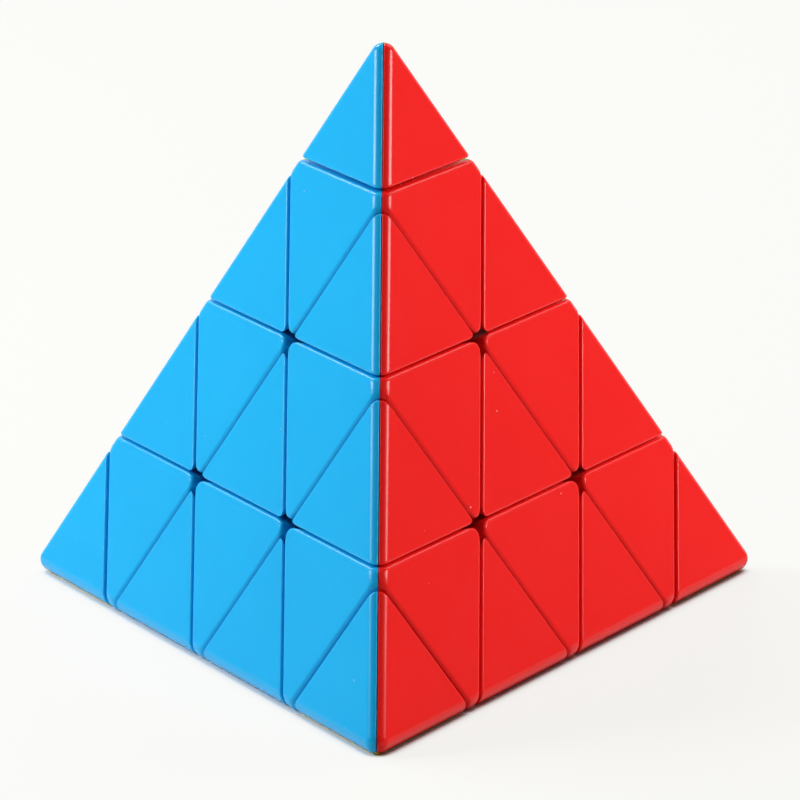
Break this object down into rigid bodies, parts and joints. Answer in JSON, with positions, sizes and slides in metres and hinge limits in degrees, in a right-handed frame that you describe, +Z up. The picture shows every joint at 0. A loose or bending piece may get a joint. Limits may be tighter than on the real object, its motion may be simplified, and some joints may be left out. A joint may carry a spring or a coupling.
{
  "type": "pyramid twisty puzzle",
  "caption": "Tetrahedral layered twisty puzzle in solid face colours: corner tips spin, corner layers and a deep layer turn on a sprung ball core.",
  "frame": {"origin": "centre of the base face, on the surface the puzzle stands on", "axes": "+Z up through the top corner, -Y towards the front corner, +X towards the right corner"},
  "size_m": [0.0936, 0.0814, 0.077],
  "materials": {
    "blue_plastic": "satin moulded",
    "red_plastic": "satin moulded",
    "green_plastic": "satin moulded",
    "yellow_plastic": "satin moulded",
    "core_plastic": "matte moulded",
    "steel": "bright plated"
  },
  "bodies": {
    "base": {"core": "core_plastic", "screw_top": "steel", "washer_top": "steel", "spring_top": "steel", "screw_front": "steel", "washer_front": "steel", "spring_front": "steel", "screw_left": "steel", "washer_left": "steel", "spring_left": "steel", "screw_right": "steel", "washer_right": "steel", "spring_right": "steel", "mid_edge_front_left": "blue_plastic", "mid_edge_front_right": "yellow_plastic", "mid_edge_left_right": "green_plastic", "centre_yellow": "yellow_plastic"},
    "upper_block": {"mid_edge_top_front": "blue_plastic", "mid_edge_top_left": "green_plastic", "mid_edge_top_right": "red_plastic", "centre_blue": "blue_plastic", "centre_red": "red_plastic", "centre_green": "green_plastic"},
    "corner_top": {"axial_top": "red_plastic", "axial_hub_top": "core_plastic", "axial_cap_top": "core_plastic", "wing_top_front": "red_plastic", "wing_top_left": "green_plastic", "wing_top_right": "green_plastic"},
    "corner_front": {"axial_front": "yellow_plastic", "axial_hub_front": "core_plastic", "axial_cap_front": "core_plastic", "wing_front_left": "yellow_plastic", "wing_front_right": "yellow_plastic"},
    "upper_wing_front": {"wing_front_top": "blue_plastic"},
    "corner_left": {"axial_left": "blue_plastic", "axial_hub_left": "core_plastic", "axial_cap_left": "core_plastic", "wing_left_front": "blue_plastic", "wing_left_right": "yellow_plastic"},
    "upper_wing_left": {"wing_left_top": "blue_plastic"},
    "corner_right": {"axial_right": "green_plastic", "axial_hub_right": "core_plastic", "axial_cap_right": "core_plastic", "wing_right_front": "red_plastic", "wing_right_left": "green_plastic"},
    "upper_wing_right": {"wing_right_top": "red_plastic"},
    "tip_top": {"tip_top": "blue_plastic", "tip_spindle_top": "core_plastic"},
    "tip_front": {"tip_front": "red_plastic", "tip_spindle_front": "core_plastic"},
    "tip_left": {"tip_left": "green_plastic", "tip_spindle_left": "core_plastic"},
    "tip_right": {"tip_right": "yellow_plastic", "tip_spindle_right": "core_plastic"}
  },
  "joints": [
    {"name": "deep_turn", "type": "hinge", "parent": "base", "child": "upper_block", "pos_m": [0, 0, 0.02], "axis": [0, 0, 1], "range_deg": [-120, 120]},
    {"name": "corner_top_turn", "type": "hinge", "parent": "upper_block", "child": "corner_top", "pos_m": [0, 0, 0.02], "axis": [0, 0, 1], "continuous": true},
    {"name": "corner_front_turn", "type": "hinge", "parent": "base", "child": "corner_front", "pos_m": [0, 0, 0.02], "axis": [0, -0.9428, -0.3333], "continuous": true},
    {"name": "corner_left_turn", "type": "hinge", "parent": "base", "child": "corner_left", "pos_m": [0, 0, 0.02], "axis": [-0.8165, 0.4714, -0.3333], "continuous": true},
    {"name": "corner_right_turn", "type": "hinge", "parent": "base", "child": "corner_right", "pos_m": [0, 0, 0.02], "axis": [0.8165, 0.4714, -0.3333], "continuous": true},
    {"name": "upper_wing_front_turn", "type": "hinge", "parent": "upper_block", "child": "upper_wing_front", "pos_m": [0, 0, 0.02], "axis": [0, -0.9428, -0.3333], "continuous": true},
    {"name": "upper_wing_left_turn", "type": "hinge", "parent": "upper_block", "child": "upper_wing_left", "pos_m": [0, 0, 0.02], "axis": [-0.8165, 0.4714, -0.3333], "continuous": true},
    {"name": "upper_wing_right_turn", "type": "hinge", "parent": "upper_block", "child": "upper_wing_right", "pos_m": [0, 0, 0.02], "axis": [0.8165, 0.4714, -0.3333], "continuous": true},
    {"name": "tip_top_turn", "type": "hinge", "parent": "corner_top", "child": "tip_top", "pos_m": [0, 0, 0.02], "axis": [0, 0, 1], "continuous": true},
    {"name": "tip_front_turn", "type": "hinge", "parent": "corner_front", "child": "tip_front", "pos_m": [0, 0, 0.02], "axis": [0, -0.9428, -0.3333], "continuous": true},
    {"name": "tip_left_turn", "type": "hinge", "parent": "corner_left", "child": "tip_left", "pos_m": [0, 0, 0.02], "axis": [-0.8165, 0.4714, -0.3333], "continuous": true},
    {"name": "tip_right_turn", "type": "hinge", "parent": "corner_right", "child": "tip_right", "pos_m": [0, 0, 0.02], "axis": [0.8165, 0.4714, -0.3333], "continuous": true}
  ],
  "couplings": [
    {"joint": "upper_wing_front_turn", "follows": "corner_front_turn", "ratio": 1},
    {"joint": "upper_wing_left_turn", "follows": "corner_left_turn", "ratio": 1},
    {"joint": "upper_wing_right_turn", "follows": "corner_right_turn", "ratio": 1}
  ]
}
